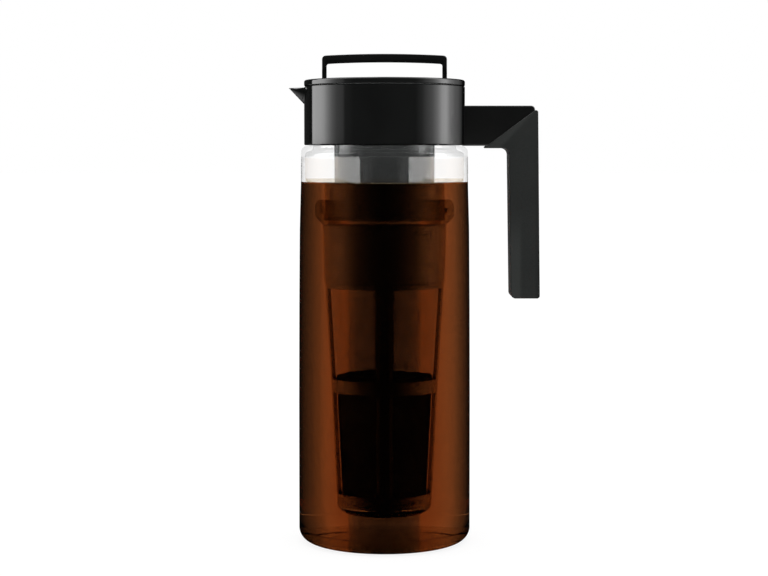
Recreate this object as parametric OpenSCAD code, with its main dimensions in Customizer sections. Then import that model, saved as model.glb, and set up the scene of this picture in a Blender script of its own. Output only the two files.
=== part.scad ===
// Cold brew coffee maker: a clear two-quart jug with a clamped collar and handle,
// an airtight turning lid with a folding bail, and a mesh basket hanging from the lid.
// Millimetres, +Z up. The origin is the centre of the jug's base ring, on the table.
// +X points to the handle, -X to the pouring spout.

/* [Jug] */
// Outer radius of the jug wall near its base
jug_r = 54.9; // [54.7:0.1:55.2]
// Outer radius of the jug wall under its shoulder
jug_top_r = 53.3; // [53.1:0.1:53.5]
// Thickness of the jug wall
jug_wall = 2.5; // [2.2:0.1:2.8]
// Thickness of the jug floor at its foot ring
jug_floor = 2.5; // [2.3:0.1:3]
// Radius of the rounded bottom edge
jug_foot_round = 7; // [6.5:0.1:7.5]
// Height where the shoulder starts to round in
shoulder_z = 249; // [248.8:0.1:249.2]
// Radius of the shoulder rounding
shoulder_round = 3.6; // [3.4:0.1:3.8]
// Outer radius of the jug neck
neck_r = 47.6; // [47.4:0.1:47.7]
// Height of the neck rim
neck_top = 279.6; // [279:0.1:280]

/* [Collar] */
// Outer radius of the collar
collar_r = 51; // [50.9:0.1:51.4]
// Height of the collar's lower edge
collar_z0 = 253.3; // [253:0.1:253.8]
// Height of the collar's upper rim
collar_z1 = 290.3; // [290:0.1:290.3]
// How far the pouring beak reaches out of the collar
beak_len = 9.8; // [8:0.1:10]

/* [Lid] */
// Thickness of the lid's top disc
cap_t = 3.6; // [3.4:0.1:4]
// Outer radius of the plug that enters the collar
plug_r = 44.9; // [44.7:0.1:44.9]
// Height of the plug's lower edge
plug_z0 = 256.5; // [255:0.5:258]
// Turn of the lid from closed to pouring, in degrees
lid_turn = 90; // [80:1:90]

/* [Bail] */
// Half of the bail's outside span
bail_half = 39.6; // [39.5:0.1:40.2]
// Thickness of a bail leg
bail_leg_t = 2.9; // [2.6:0.1:3]
// Depth of the bail from front to back
bail_depth = 3.9; // [3.6:0.1:3.9]
// Height of the bail's upper edge at its middle
bail_top = 310.9; // [310:0.1:312]

/* [Infuser] */
// Outer radius of the infuser tube
tube_r = 31.9; // [31.6:0.1:31.9]
// Wall thickness of the infuser tube
tube_wall = 2.3; // [2:0.1:2.4]
// Outer radius of the basket's coupling ring
ring_r = 36.9; // [35.3:0.1:37]
// Width of the ribs between the basket's windows
rib_w = 9.4; // [9:0.1:12]
// Wall thickness of the basket frame
basket_wall = 2.4; // [2.2:0.1:2.6]
// Height of the basket's underside
basket_z0 = 18.5; // [18:0.5:19.5]
// Twist that releases a bayonet joint, in degrees
bayonet_turn = 35; // [30:1:38]

/* [Handle] */
// Width of the rigid handle arm
arm_w = 22; // [20:0.5:23]
// Width of the soft grip
grip_w = 25; // [24:0.5:27]
// Height of the grip's lower end
grip_z0 = 156.3; // [155:0.1:157]

/* [Hidden] */
$fn = 96;
e = 0.05;

neck_in = 45.4;                     // bore of the neck and of the collar's mouth
collar_in = 48;                     // bore of the collar round the neck
seat_z = neck_top + 1.6;            // underside of the collar's inner ledge
cap_z0 = collar_z1 + 0.3;           // underside of the lid disc
cap_z1 = cap_z0 + cap_t;
pivot_z = cap_z1 - 1.85;            // hinge line of the bail
trough_z = cap_z1 - 4;              // floor of the recess that takes the bail
boss_z0 = cap_z0 - 1.5;             // underside of the disc's thick middle
bail_y0 = -(bail_top - pivot_z) - 0.75;  // front edge of the recess
plug_in = 41.6;                     // inside of the plug skirt
plate_z0 = boss_z0 - 1.8;           // underside of the plug's top plate
socket_in = tube_r + 0.3;
socket_out = 35.6;
lug_r = 33.7;                       // reach of the bayonet lugs
slot_r = 34.0;                      // depth of the bayonet slots
tube_z0 = 208.2;
tube_z1 = plate_z0 - 2.2;
ring_z0 = 204;
ring_z1 = 219;
base_joint_z = 26;                  // where the basket's base cap meets its frame
port_half = 7.2;                    // half width of the pouring slot and port
port_z0 = 281.6;                    // height of the port
port_z1 = 287.1;

// Basket outline: [height, outer radius]
basket_line = [[ring_z0, 32.4], [166, 31.6], [97, 28.2], [base_joint_z, 25.3], [basket_z0, 25]];

// Points of a rounded corner at b, coming from a and leaving to c
function unit(v) = v / norm(v);
function corner(a, b, c, r, n = 8) =
  r <= 0 ? [b] :
  let (u = unit(a - b), w = unit(c - b),
       half = acos(max(-1, min(1, u * w))) / 2,
       d = r / tan(half), m = unit(u + w), o = b + m * (r / sin(half)),
       s = b + u * d, f = b + w * d, p = s - o, q = f - o,
       a0 = atan2(p[1], p[0]), a1 = atan2(q[1], q[0]),
       sweep = ((a1 - a0 + 540) % 360) - 180)
  [for (i = [0:n]) o + r * [cos(a0 + sweep * i / n), sin(a0 + sweep * i / n)]];
// A closed outline with each corner rounded: pts = [[x, y, radius], ...]
function rounded(pts, n = 8) =
  let (k = len(pts))
  [for (i = [0:k - 1])
    let (a = pts[(i + k - 1) % k], b = pts[i], c = pts[(i + 1) % k])
    each corner([a[0], a[1]], [b[0], b[1]], [c[0], c[1]], b[2], n)];

module ring(r0, r1, z0, z1) {
  rotate_extrude() translate([r0, z0]) square([r1 - r0, z1 - z0]);
}
// A block that follows a ring between two angles
module arc_block(r0, r1, z0, z1, a0, a1) {
  rotate([0, 0, a0]) rotate_extrude(angle = a1 - a0) translate([r0, z0]) square([r1 - r0, z1 - z0]);
}
// Cutter for a rounded window through the basket wall, facing the direction a
module window(a, z0, z1, w0, w1, r) {
  rotate([0, 0, a]) rotate([90, 0, 90]) translate([0, 0, 12])
    linear_extrude(height = 24)
      polygon(rounded([[-w0, z0, r], [w0, z0, r], [w1, z1, r], [-w1, z1, r]], 6));
}
function basket_r(z) =
  z >= basket_line[1][0] ? lookup(z, [basket_line[1], basket_line[0]]) :
  z >= basket_line[2][0] ? lookup(z, [basket_line[2], basket_line[1]]) :
  lookup(z, [basket_line[3], basket_line[2]]);
// Half width of a window at height z, seen square on at 45 degrees to the ribs
function window_half(z) = basket_r(z) * sin(45 - asin(rib_w / 2 / basket_r(z)));

// ---- jug: one clear moulding with a foot ring, a shoulder and a neck ----
// Wall line: [outer radius, height]; the body narrows in a slow curve
wall_line = [[jug_r - 0.05, 30], [jug_r - 0.15, 90], [jug_r - 0.45, 150], [jug_r - 0.9, 200], [jug_r - 1.3, 228]];
module jug() {
  color([0.92, 0.94, 0.95, 0.35])
  rotate_extrude($fn = 180) polygon(concat(
    [[0, 0.8], [34, 0.8], [35.5, 0]],
    corner([35.5, 0], [jug_r, 0], wall_line[0], jug_foot_round, 10),
    wall_line,
    corner(wall_line[4], [jug_top_r, shoulder_z + shoulder_round], [neck_r, shoulder_z + shoulder_round], shoulder_round, 8),
    [[neck_r, shoulder_z + shoulder_round], [neck_r, 264.6], [neck_r + 0.5, 265.4],
     [neck_r + 0.5, 267.2], [neck_r, 268], [neck_r, neck_top - 0.6], [neck_r - 0.6, neck_top],
     [neck_in + 0.6, neck_top], [neck_in, neck_top - 0.6], [neck_in, 253.9]],
    corner([neck_in, 253.9], [neck_in, 250.5], [jug_top_r - jug_wall, 248.2], 2, 4),
    corner([neck_in, 250.5], [jug_top_r - jug_wall, 248.2], wall_line[4] - [jug_wall, 0], 2.4, 5),
    [for (i = [4:-1:0]) wall_line[i] - [jug_wall, 0]],
    corner(wall_line[0] - [jug_wall, 0], [jug_r - jug_wall, jug_floor], [40, jug_floor], jug_foot_round - 2.2, 8),
    [[36, jug_floor], [30, jug_floor + 0.6], [0, jug_floor + 0.8]]
  ));
}

// ---- gasket between the neck rim and the collar's ledge ----
module neck_gasket() {
  color([0.30, 0.31, 0.32])
  ring(neck_in + 0.3, neck_r + 0.2, neck_top, seat_z);
}

// ---- collar: clamps on the neck, carries the beak and the handle arm ----
module beak(shift) {
  translate([-(collar_r + beak_len) + shift, 0, collar_z1 - 0.9]) rotate([0, 90, 0])
    cylinder(h = beak_len + 3, r1 = 0, r2 = (beak_len + 3) * 1.04);
}
module collar() {
  color([0.055, 0.055, 0.06])
  difference() {
    union() {
      rotate_extrude($fn = 180) polygon([
        [collar_in, collar_z0], [collar_r - 0.5, collar_z0], [collar_r, collar_z0 + 0.5],
        [collar_r, collar_z1 - 0.5], [collar_r - 0.5, collar_z1], [neck_in + 0.6, collar_z1],
        [neck_in, collar_z1 - 0.6], [neck_in, seat_z], [collar_in, seat_z],
        [collar_in, 268.6], [collar_in + 0.5, 267.8], [collar_in + 0.5, 264.8],
        [collar_in, 264]]);
      // pouring beak: the lower half of a cone with its point at the tip
      intersection() {
        beak(0);
        translate([-80, -20, 270]) cube([31, 40, collar_z1 - 0.9 - 270]);
      }
    }
    // channel inside the beak
    intersection() {
      beak(2.1);
      translate([-80, -20, 270]) cube([29.1, 40, 40]);
    }
    // pouring slot through the wall, open at the rim
    translate([-52, 0, 0]) rotate([90, 0, 90]) linear_extrude(height = 10)
      polygon(rounded([[-port_half, seat_z + 0.9, 1.5], [port_half, seat_z + 0.9, 1.5], [port_half, 300, 0], [-port_half, 300, 0]], 6));
    // arc recess that stops the lid at each end of its turn
    arc_block(48, 49.6, collar_z1 - 2.2, collar_z1 + 1, 45.4, 54.6 + lid_turn);
    // screw seats for the handle arm
    for (z = [258.5, 271.5]) translate([0, 0, z]) rotate([0, 90, 0]) {
      translate([0, 0, 44]) cylinder(h = 5.9, r = 3);
      translate([0, 0, 44]) cylinder(h = 12, r = 1.6);
    }
  }
}

// ---- rigid handle: arm and post in one moulding ----
core_line = [[49, 252.9, 0], [80.1, 252.9, 3], [81.6, 158.8, 1], [96, 158.8, 1], [94.8, 278, 2.5], [49, 278, 0]];
module handle_core() {
  color([0.06, 0.06, 0.065])
  difference() {
    intersection() {
      translate([0, arm_w / 2, 0]) rotate([90, 0, 0]) linear_extrude(height = arm_w) polygon(rounded(core_line, 8));
      union() {
        translate([40, -arm_w / 2, 235]) cube([70, arm_w, 60]);
        translate([40, -9.5, 150]) cube([70, 19, 90]);
      }
    }
    cylinder(h = 400, r = collar_r + 0.02, $fn = 180);
    for (z = [258.5, 271.5]) translate([0, 0, z]) rotate([0, 90, 0]) translate([0, 0, 49]) cylinder(h = 13.4, r = 1.55);
  }
}
module handle_screws() {
  color([0.70, 0.71, 0.72])
  for (z = [258.5, 271.5]) translate([0, 0, z]) rotate([0, 90, 0]) difference() {
    union() {
      translate([0, 0, 48.3]) cylinder(h = 1.6, r = 2.8);
      translate([0, 0, 48.3]) cylinder(h = 13.6, r = 1.5);
    }
    translate([-0.4, -1.8, 48]) cube([0.8, 3.6, 1]);
    translate([-1.8, -0.4, 48]) cube([3.6, 0.8, 1]);
  }
}

// ---- soft grip: sleeve over the post and the corner, cut off on a diagonal ----
grip_line = [[62.6, 251.4, 0.6], [78.5, 251.4, 4], [80.1, grip_z0, 3], [98.4, grip_z0, 1.8], [96.7, 276.6, 1.5]];
module handle_grip() {
  color([0.13, 0.14, 0.14])
  difference() {
    intersection() {
      translate([0, grip_w / 2, 0]) rotate([90, 0, 0]) linear_extrude(height = grip_w) polygon(rounded(grip_line, 8));
      translate([0, 0, 140]) linear_extrude(height = 150)
        polygon(rounded([[60, -grip_w / 2, 1.2], [98.9, -grip_w / 2, 4.5], [98.9, grip_w / 2, 4.5], [60, grip_w / 2, 1.2]], 6));
    }
    // pocket for the core
    intersection() {
      translate([0, arm_w / 2, 0]) rotate([90, 0, 0]) linear_extrude(height = arm_w) polygon(rounded(core_line, 8));
      union() {
        translate([40, -arm_w / 2, 235]) cube([70, arm_w, 60]);
        translate([40, -9.5, 150]) cube([70, 19, 90]);
      }
    }
  }
}

// ---- lid seal: silicone ring with two lips, in the groove of the plug ----
module lid_seal() {
  color([0.35, 0.36, 0.37])
  rotate_extrude($fn = 180) polygon([[43.3, 262.2], [44.2, 262.2], [45.15, 262.9], [45.15, 263.5], [44.4, 264.3],
    [44.4, 265.5], [45.15, 266.3], [45.15, 266.9], [44.2, 267.6], [43.3, 267.6]]);
}

// ---- lid disc with the recess for the folded bail ----
module lid_cap() {
  color([0.05, 0.05, 0.055])
  difference() {
    union() {
      rotate_extrude($fn = 180) polygon(concat(
        [[0, boss_z0], [plug_in - 0.2, boss_z0], [plug_in - 0.2, cap_z0], [collar_r - 0.4, cap_z0], [collar_r, cap_z0 + 0.4]],
        corner([collar_r, cap_z0], [collar_r, cap_z1], [0, cap_z1], 1.1, 5), [[0, cap_z1]]));
      // stop lug under the disc
      arc_block(48.2, 49.4, cap_z0 - 2, cap_z0 + 0.1, 46, 54);
    }
    // groove of the face gasket
    ring(45.9, 47.6, cap_z0 - 1, cap_z0 + 1);
    // U-shaped recess: two leg troughs and a bar trough
    for (s = [-1, 1]) translate([s * (bail_half - bail_leg_t / 2) - bail_leg_t / 2 - 0.6, bail_y0, trough_z])
      cube([bail_leg_t + 1.2, 2.4 - bail_y0, 10]);
    translate([-bail_half - 0.6, bail_y0, trough_z]) cube([2 * bail_half + 1.2, 7.8, 10]);
    // finger scoop behind the bar
    translate([0, -8.6, cap_z1 + 11]) sphere(r = 14);
    // pin holes
    for (s = [-1, 1]) translate([s * 38.2, 0, pivot_z]) rotate([0, 90, 0]) translate([0, 0, -4.2]) cylinder(h = 8.4, r = 1);
  }
}

// ---- plug under the lid: skirt, top plate and the bayonet socket ----
module bayonet_slots(z_open, z0, z1, dir, phase) {
  // entry channels, then a level slot that runs round to the locked end
  for (a = [0, 120, 240]) rotate([0, 0, a + phase]) {
    arc_block(socket_in - 1, slot_r + 0.3, min(z_open, z0 + 0.4), max(z_open, z1 - 0.4), -10, 10);
    arc_block(socket_in - 1.2, slot_r, z0, z1, dir > 0 ? -8 : -(bayonet_turn + 9), dir > 0 ? bayonet_turn + 9 : 8);
  }
}
module lid_plug() {
  color([0.07, 0.07, 0.075])
  difference() {
    union() {
      rotate_extrude($fn = 180) polygon([
        [0, plate_z0], [plug_in, plate_z0], [plug_in, plug_z0], [plug_r - 0.8, plug_z0], [plug_r, plug_z0 + 1.2],
        [plug_r, 262], [43.2, 262], [43.2, 267.8], [plug_r, 267.8], [plug_r, cap_z0], [plug_in - 0.1, cap_z0],
        [plug_in - 0.1, boss_z0], [0, boss_z0]]);
      ring(socket_in, socket_out, 263, plate_z0 + 0.1);
    }
    bayonet_slots(262, 271.7, 275.3, 1, 15);
    // pouring port, a quarter turn from the spout when closed
    rotate([0, 0, 180 - lid_turn]) {
      translate([38, -port_half, port_z0]) cube([10, 2 * port_half, port_z1 - port_z0]);
    }
    // the skirt is lowered under the bail's recess
    translate([-bail_half - 1.3, bail_y0 - 0.7, trough_z - 0.06]) cube([2 * bail_half + 2.6, 9.2, 4]);
    // pocket of the pad that shuts the spout
    arc_block(43.55, 50, port_z0 - 0.3, port_z1 + 0.3, 167, 193);
  }
}

// ---- face gasket in the groove under the lid disc ----
module flange_gasket() {
  color([0.35, 0.36, 0.37])
  ring(45.95, 47.55, collar_z1 + 0.12, cap_z0 + 1);
}
// ---- pad that closes the spout slot ----
module spout_pad() {
  color([0.35, 0.36, 0.37])
  arc_block(43.6, 45.15, port_z0 - 0.2, port_z1 + 0.2, 167.4, 192.6);
}
// ---- strainer: slotted plate in the pouring port ----
module pour_strainer() {
  color([0.09, 0.09, 0.095])
  rotate([0, 0, 180 - lid_turn]) difference() {
    intersection() {
      ring(41.9, 44.6, port_z0 + 0.1, port_z1 - 0.1);
      translate([38, -port_half + 0.1, port_z0 - 1]) cube([10, 2 * port_half - 0.2, 8]);
    }
    for (y = [-5.4:1.8:5.5]) translate([38, y - 0.55, port_z0 + 0.9]) cube([10, 1.1, port_z1 - port_z0 - 1.8]);
  }
}
module bail_pins() {
  color([0.72, 0.73, 0.74])
  for (s = [-1, 1]) translate([s * 38.2, 0, pivot_z]) rotate([0, 90, 0]) translate([0, 0, -4.1]) cylinder(h = 8.2, r = 0.98);
}
module socket_gasket() {
  color([0.35, 0.36, 0.37])
  ring(tube_r - tube_wall, tube_r + 0.2, plate_z0 - 2, plate_z0);
}

// ---- bail: flat strap that folds into the lid ----
module bail_handle() {
  color([0.05, 0.05, 0.055])
  difference() {
    union() {
      translate([0, bail_depth / 2, 0]) rotate([90, 0, 0]) linear_extrude(height = bail_depth)
        polygon(concat(
          [[-bail_half + bail_leg_t, pivot_z], [-bail_half, pivot_z]],
          corner([-bail_half, pivot_z], [-bail_half, bail_top - 1.1], [0, bail_top], 2.4, 6),
          [for (i = [-6:6]) [i * 5.5, bail_top - 1.1 * pow(i / 7, 2)]],
          corner([0, bail_top], [bail_half, bail_top - 1.1], [bail_half, pivot_z], 2.4, 6),
          [[bail_half, pivot_z], [bail_half - bail_leg_t, pivot_z]],
          corner([bail_half - bail_leg_t, pivot_z], [bail_half - bail_leg_t, bail_top - 6.3], [0, bail_top - 5.3], 1.6, 5),
          [for (i = [6:-1:-6]) [i * 5.3, bail_top - 5.3 - 0.9 * pow(i / 7, 2)]],
          corner([0, bail_top - 5.3], [-bail_half + bail_leg_t, bail_top - 6.3], [-bail_half + bail_leg_t, pivot_z], 1.6, 5)));
      for (s = [-1, 1]) translate([s * (bail_half - bail_leg_t / 2), 0, pivot_z]) rotate([0, 90, 0])
        cylinder(h = bail_leg_t, r = bail_depth / 2, center = true);
    }
    for (s = [-1, 1]) translate([s * 38.4, 0, pivot_z]) rotate([0, 90, 0]) cylinder(h = 8, r = 1.04, center = true);
  }
}

// ---- infuser tube with bayonet lugs at both ends ----
module infuser_tube() {
  color([0.16, 0.15, 0.145])
  union() {
    ring(tube_r - tube_wall, tube_r, tube_z0, tube_z1);
    for (a = [0, 120, 240]) {
      arc_block(tube_r - 1, lug_r, 272, 275, a + 15 + bayonet_turn - 8, a + 15 + bayonet_turn + 8);
      arc_block(tube_r - 1, lug_r, 210.5, 213.5, a + 60 - bayonet_turn - 8, a + 60 - bayonet_turn + 8);
    }
  }
}

module basket_gasket() {
  color([0.35, 0.36, 0.37])
  ring(30.1, 32.0, 206, 207.9);
}
// ---- basket frame: coupling ring, ribs and two rows of windows ----
module basket_frame() {
  color([0.16, 0.15, 0.145])
  difference() {
    rotate_extrude($fn = 180) polygon(concat(
      [[basket_line[3][1] - basket_wall, base_joint_z], [basket_line[3][1], base_joint_z],
       [basket_line[2][1], basket_line[2][0]], [basket_line[1][1], basket_line[1][0]],
       [basket_line[1][1] + 0.6, basket_line[1][0] + 0.8], [basket_line[0][1] + 0.5, ring_z0 - 0.6],
       [ring_r - 1.2, ring_z0 + 2.4], [ring_r, ring_z0 + 4.2], [ring_r, ring_z1 - 3.4], [ring_r - 0.8, ring_z1 - 1.6],
       [ring_r - 1.5, ring_z1 - 0.4], [ring_r - 1.9, ring_z1]],
      [[socket_in, ring_z1], [socket_in, 206], [basket_line[0][1] - basket_wall, 206],
       [basket_line[1][1] - basket_wall, basket_line[1][0]], [basket_line[2][1] - basket_wall, basket_line[2][0]]]));
    bayonet_slots(ring_z1 + 1, 210.2, 213.8, -1, 60);
    for (a = [45, 135, 225, 315]) {
      window(a, 105, 163, window_half(105), window_half(163), 1.6);
      window(a, 31.8, 96.6, window_half(31.8), window_half(96.6), 1.6);
    }
  }
}
// ---- filter mesh: one fine sleeve against the inside of the frame ----
mesh_t = 0.4;
module filter_mesh() {
  color([0.25, 0.22, 0.19])
  rotate_extrude($fn = 180) polygon(concat(
    [for (z = [29.2, 97, 166]) [basket_r(z) - basket_wall - e, z]],
    [for (z = [166, 97, 29.2]) [basket_r(z) - basket_wall - e - mesh_t, z]]));
}
// ---- base cap of the basket, plugged into the frame ----
module basket_base() {
  color([0.16, 0.15, 0.145])
  rotate_extrude($fn = 180) polygon(concat(
    [[0, basket_z0]],
    corner([0, basket_z0], [basket_line[4][1], basket_z0], [basket_line[3][1], base_joint_z], 6.5, 10),
    [[basket_line[3][1] - 0.02, base_joint_z], [22.85, base_joint_z], [22.85, base_joint_z + 2.6], [20.9, base_joint_z + 2.6],
     [20.3, basket_z0 + 3.6], [17, basket_z0 + 2.2], [0, basket_z0 + 2.2]]));
}

jug();
neck_gasket();
collar();
handle_core();
handle_screws();
handle_grip();
lid_seal();
lid_cap();
lid_plug();
flange_gasket();
spout_pad();
pour_strainer();
bail_pins();
socket_gasket();
bail_handle();
infuser_tube();
basket_gasket();
basket_frame();
filter_mesh();
basket_base();
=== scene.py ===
import math

import bmesh
import bpy
from mathutils import Matrix, Vector


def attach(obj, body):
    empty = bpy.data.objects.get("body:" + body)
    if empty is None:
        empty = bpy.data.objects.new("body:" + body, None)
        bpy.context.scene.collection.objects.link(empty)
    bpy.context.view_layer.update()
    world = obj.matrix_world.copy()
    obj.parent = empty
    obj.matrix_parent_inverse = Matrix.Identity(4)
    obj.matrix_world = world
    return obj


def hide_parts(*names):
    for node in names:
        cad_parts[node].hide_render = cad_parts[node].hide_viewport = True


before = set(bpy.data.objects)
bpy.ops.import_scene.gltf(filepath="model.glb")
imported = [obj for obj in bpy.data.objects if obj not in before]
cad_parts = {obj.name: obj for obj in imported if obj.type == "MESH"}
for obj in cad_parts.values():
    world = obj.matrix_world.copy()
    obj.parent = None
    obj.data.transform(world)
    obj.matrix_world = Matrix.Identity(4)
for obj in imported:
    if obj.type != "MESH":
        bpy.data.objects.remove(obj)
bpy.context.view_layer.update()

MM = 0.001
scene = bpy.context.scene

# ------------------------------------------------------------------ dimensions (mm, as in the CAD)
LEVEL = 229.4            # height of the coffee
FOOT = 8.7               # top of the jug's rounded foot
FOOT_IN = 9.1             # the same for the skins inside it
GROUNDS = 107.5          # height of the ground coffee in the basket
JUG_R, JUG_TOP_R, WALL = 54.9, 52.9, 2.5
WALL_LINE = [(54.85, 30.0), (54.75, 90.0), (54.45, 150.0), (54.0, 200.0), (53.2, 228.0)]
NECK_R, NECK_IN, NECK_TOP = 47.6, 45.4, 279.6
TUBE_R, TUBE_WALL = 31.9, 2.3
BASKET = [(204.0, 32.4), (166.0, 31.6), (97.0, 28.2), (26.0, 25.3), (18.5, 25.0)]
BASKET_WALL = 2.4


def basket_r(z):
    for (z1, r1), (z0, r0) in zip(BASKET, BASKET[1:]):
        if z >= z0:
            return r0 + (r1 - r0) * (z - z0) / (z1 - z0)
    return BASKET[-1][1]


# ------------------------------------------------------------------ camera
cam_data = bpy.data.cameras.new("camera")
cam_data.sensor_width = 36.0
cam_data.lens = 36.0 * 1802.0 / 768.0
cam_data.clip_start, cam_data.clip_end = 0.05, 60.0
cam = bpy.data.objects.new("camera", cam_data)
scene.collection.objects.link(cam)
cam.location = (-0.0003, -1.150, 0.2440)
cam.rotation_euler = (math.radians(90.0 - 4.07), 0.0, 0.0)
scene.camera = cam

scene.view_settings.view_transform = "Standard"
scene.view_settings.look = "None"
scene.view_settings.exposure = 0.0
scene.view_settings.gamma = 1.0
scene.cycles.max_bounces = 32
scene.cycles.diffuse_bounces = 4
scene.cycles.glossy_bounces = 8
scene.cycles.transmission_bounces = 28
scene.cycles.transparent_max_bounces = 48
scene.cycles.volume_bounces = 0
scene.cycles.caustics_reflective = True
scene.cycles.caustics_refractive = True
scene.cycles.blur_glossy = 0.0
scene.cycles.use_denoising = True


# ------------------------------------------------------------------ node helpers
class Nodes:
    """A node tree with short calls."""

    def __init__(self, tree):
        self.t = tree
        tree.nodes.clear()

    def add(self, kind, **kw):
        n = self.t.nodes.new(kind)
        for k, v in kw.items():
            setattr(n, k, v)
        return n

    def link(self, a, b):
        self.t.links.new(a, b)

    def put(self, sock, v):
        if isinstance(v, bpy.types.NodeSocket):
            self.t.links.new(v, sock)
        else:
            sock.default_value = v

    def math(self, op, a, b=0.0, c=0.0, clamp=False):
        n = self.add("ShaderNodeMath", operation=op, use_clamp=clamp)
        self.put(n.inputs[0], a)
        self.put(n.inputs[1], b)
        self.put(n.inputs[2], c)
        return n.outputs[0]

    def remap(self, v, a, b, c, d, mode="LINEAR"):
        n = self.add("ShaderNodeMapRange", interpolation_type=mode)
        self.put(n.inputs["Value"], v)
        self.put(n.inputs["From Min"], a)
        self.put(n.inputs["From Max"], b)
        self.put(n.inputs["To Min"], c)
        self.put(n.inputs["To Max"], d)
        return n.outputs[0]

    def ramp(self, v, stops, mode="LINEAR"):
        n = self.add("ShaderNodeValToRGB")
        n.color_ramp.interpolation = mode
        el = n.color_ramp.elements
        while len(el) > 1:
            el.remove(el[-1])
        for i, (p, c) in enumerate(stops):
            e = el[0] if i == 0 else el.new(p)
            e.position = p
            e.color = (c, c, c, 1.0) if isinstance(c, (int, float)) else (*c, 1.0)
        self.put(n.inputs[0], v)
        return n.outputs[0]

    def mix(self, f, a, b):
        n = self.add("ShaderNodeMix", data_type="RGBA")
        self.put(n.inputs[0], f)
        self.put(n.inputs[6], a)
        self.put(n.inputs[7], b)
        return n.outputs[2]

    def noise(self, scale, detail=3.0, rough=0.5, vec=None, dist=0.0):
        n = self.add("ShaderNodeTexNoise")
        n.inputs["Scale"].default_value = scale
        n.inputs["Detail"].default_value = detail
        n.inputs["Roughness"].default_value = rough
        n.inputs["Distortion"].default_value = dist
        if vec is not None:
            self.put(n.inputs["Vector"], vec)
        return n.outputs["Fac"]

    def bump(self, height, strength, distance):
        n = self.add("ShaderNodeBump")
        n.inputs["Strength"].default_value = strength
        n.inputs["Distance"].default_value = distance
        self.put(n.inputs["Height"], height)
        return n.outputs[0]


def material(name):
    m = bpy.data.materials.new(name)
    m.use_nodes = True
    return m, Nodes(m.node_tree)


def principled(n, color, rough, ior=1.5, metallic=0.0, transmission=0.0, coat=0.0, coat_rough=0.03, spec=0.5, normal=None):
    b = n.add("ShaderNodeBsdfPrincipled")
    n.put(b.inputs["Base Color"], color)
    n.put(b.inputs["Roughness"], rough)
    b.inputs["IOR"].default_value = ior
    b.inputs["Metallic"].default_value = metallic
    b.inputs["Transmission Weight"].default_value = transmission
    b.inputs["Coat Weight"].default_value = coat
    b.inputs["Coat Roughness"].default_value = coat_rough
    b.inputs["Specular IOR Level"].default_value = spec
    if normal is not None:
        n.put(b.inputs["Normal"], normal)
    return b


def unmirrored(n, surface):
    """Leaves this surface out of mirror images."""
    lp = n.add("ShaderNodeLightPath")
    mx = n.add("ShaderNodeMixShader")
    n.link(n.math("GREATER_THAN", lp.outputs["Glossy Depth"], 0.5), mx.inputs[0])
    n.link(surface, mx.inputs[1])
    n.link(n.add("ShaderNodeBsdfTransparent").outputs[0], mx.inputs[2])
    return mx.outputs[0]


def output(n, surface=None, volume=None):
    o = n.add("ShaderNodeOutputMaterial")
    if surface is not None:
        n.link(surface, o.inputs["Surface"])
    if volume is not None:
        n.link(volume, o.inputs["Volume"])


def obj_coord(n):
    return n.add("ShaderNodeTexCoord").outputs["Object"]


# ------------------------------------------------------------------ materials
def mat_gloss_black():
    """Polished black moulding: near-black with a faint cool cast, hairline wear and moulding flow in the gloss."""
    m, n = material("gloss_black_plastic")
    co = obj_coord(n)
    flow = n.noise(18.0, 3.0, 0.5, co, 0.6)
    fine = n.noise(900.0, 2.0, 0.6, co)
    rough = n.math("ADD", n.remap(flow, 0.3, 0.7, 0.035, 0.075), n.remap(fine, 0.55, 0.75, 0.0, 0.03))
    color = n.mix(n.remap(flow, 0.35, 0.65, 0.0, 1.0), (0.0040, 0.0043, 0.0042, 1), (0.0064, 0.0068, 0.0066, 1))
    b = principled(n, color, rough, normal=n.bump(n.noise(35.0, 2.0, 0.5, co), 0.02, 0.0006))
    output(n, b.outputs[0])
    return m


def mat_satin_black():
    """Fine-textured black moulding of the handle arm."""
    m, n = material("satin_black_plastic")
    co = obj_coord(n)
    grain = n.noise(2600.0, 2.0, 0.6, co)
    cloud = n.noise(60.0, 3.0, 0.5, co)
    color = n.mix(n.remap(cloud, 0.3, 0.7, 0.0, 1.0), (0.0018, 0.0019, 0.0018, 1), (0.0030, 0.0032, 0.0031, 1))
    rough = n.remap(grain, 0.3, 0.7, 0.30, 0.40)
    b = principled(n, color, rough, normal=n.bump(grain, 0.25, 0.00008))
    output(n, unmirrored(n, b.outputs[0]))
    return m


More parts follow.
